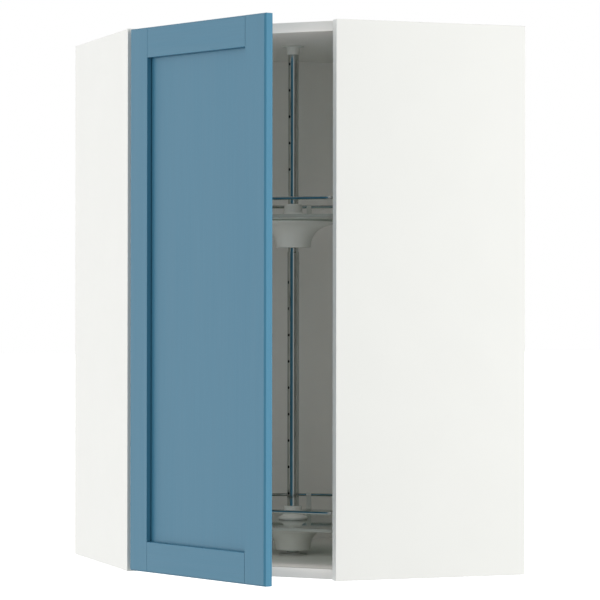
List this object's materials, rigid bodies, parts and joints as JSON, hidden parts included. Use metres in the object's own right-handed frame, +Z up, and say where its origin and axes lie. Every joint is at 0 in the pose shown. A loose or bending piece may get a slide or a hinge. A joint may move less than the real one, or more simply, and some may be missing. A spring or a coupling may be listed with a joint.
{
  "type": "corner carousel wall cabinet",
  "caption": "Five-sided corner wall cabinet with a framed door across its diagonal front and glass carousel shelves with wire rails that turn on a telescopic pole.",
  "frame": {"origin": "pole axis on the underside of the bottom panel", "axes": "+Z up the pole; one room wall is the plane facing -X at x = 0.3273, the other the plane facing -Y at y = 0.3273; the door faces the room, between -X and -Y"},
  "size_m": [0.666, 0.7448, 1],
  "materials": {
    "white_board": "white melamine-faced board, satin",
    "blue_paint": "grey-blue painted wood, satin",
    "chrome": "bright chrome plate",
    "nickel": "nickel-plated pressed steel",
    "zinc_steel": "zinc-plated steel",
    "grey_plastic": "pale grey moulded plastic",
    "glass": "clear float glass with polished edges"
  },
  "bodies": {
    "cabinet": {"right_side_panel": "white_board", "left_side_panel": "white_board", "bottom_panel": "white_board", "top_panel": "white_board", "right_back_panel": "white_board", "left_back_panel": "white_board", "back_corner_post": "white_board", "right_hanging_bracket": "zinc_steel", "left_hanging_bracket": "zinc_steel", "bottom_hinge_base": "zinc_steel", "bottom_hinge_arm": "nickel", "bottom_hinge_arm_pin": "chrome", "middle_hinge_base": "zinc_steel", "middle_hinge_arm": "nickel", "middle_hinge_arm_pin": "chrome", "top_hinge_base": "zinc_steel", "top_hinge_arm": "nickel", "top_hinge_arm_pin": "chrome", "pole_lower_tube": "chrome", "pole_upper_tube": "chrome", "pole_lock_screw": "nickel", "ceiling_bearing": "grey_plastic", "floor_bearing": "grey_plastic", "lower_support_pin": "nickel", "upper_support_pin": "nickel"},
    "hinge_links": {"bottom_hinge_link": "nickel", "middle_hinge_link": "nickel", "top_hinge_link": "nickel"},
    "door": {"door_left_stile": "blue_paint", "door_right_stile": "blue_paint", "door_bottom_rail": "blue_paint", "door_top_rail": "blue_paint", "door_panel": "blue_paint", "bottom_hinge_cup": "nickel", "bottom_hinge_cup_pin": "chrome", "middle_hinge_cup": "nickel", "middle_hinge_cup_pin": "chrome", "top_hinge_cup": "nickel", "top_hinge_cup_pin": "chrome"},
    "lower_shelf": {"lower_glass_shelf": "glass", "lower_shelf_hub": "grey_plastic", "lower_shelf_bell": "grey_plastic", "lower_shelf_rail": "chrome", "lower_rail_clip_1": "grey_plastic", "lower_rail_clip_2": "grey_plastic", "lower_rail_clip_3": "grey_plastic", "lower_rail_clip_4": "grey_plastic", "lower_rail_clip_5": "grey_plastic", "lower_rail_clip_6": "grey_plastic"},
    "upper_shelf": {"upper_glass_shelf": "glass", "upper_shelf_hub": "grey_plastic", "upper_shelf_bell": "grey_plastic", "upper_shelf_rail": "chrome", "upper_rail_clip_1": "grey_plastic", "upper_rail_clip_2": "grey_plastic", "upper_rail_clip_3": "grey_plastic", "upper_rail_clip_4": "grey_plastic", "upper_rail_clip_5": "grey_plastic", "upper_rail_clip_6": "grey_plastic"}
  },
  "joints": [
    {"name": "hinge_link_swing", "type": "hinge", "parent": "cabinet", "child": "hinge_links", "pos_m": [-0.28537, -0.06204, 0.5], "axis": [0, 0, -1], "range_deg": [-39.1, 13.7]},
    {"name": "door_swing", "type": "hinge", "parent": "hinge_links", "child": "door", "pos_m": [-0.31534, -0.05083, 0.5], "axis": [0, 0, -1], "range_deg": [-38.17, 109.49]},
    {"name": "lower_shelf_spin", "type": "hinge", "parent": "cabinet", "child": "lower_shelf", "pos_m": [0, 0, 0.0845], "axis": [0, 0, 1], "continuous": true},
    {"name": "upper_shelf_spin", "type": "hinge", "parent": "cabinet", "child": "upper_shelf", "pos_m": [0, 0, 0.6565], "axis": [0, 0, 1], "continuous": true}
  ],
  "couplings": [
    {"joint": "hinge_link_swing", "follows": "door_swing", "ratio": -0.35663}
  ]
}
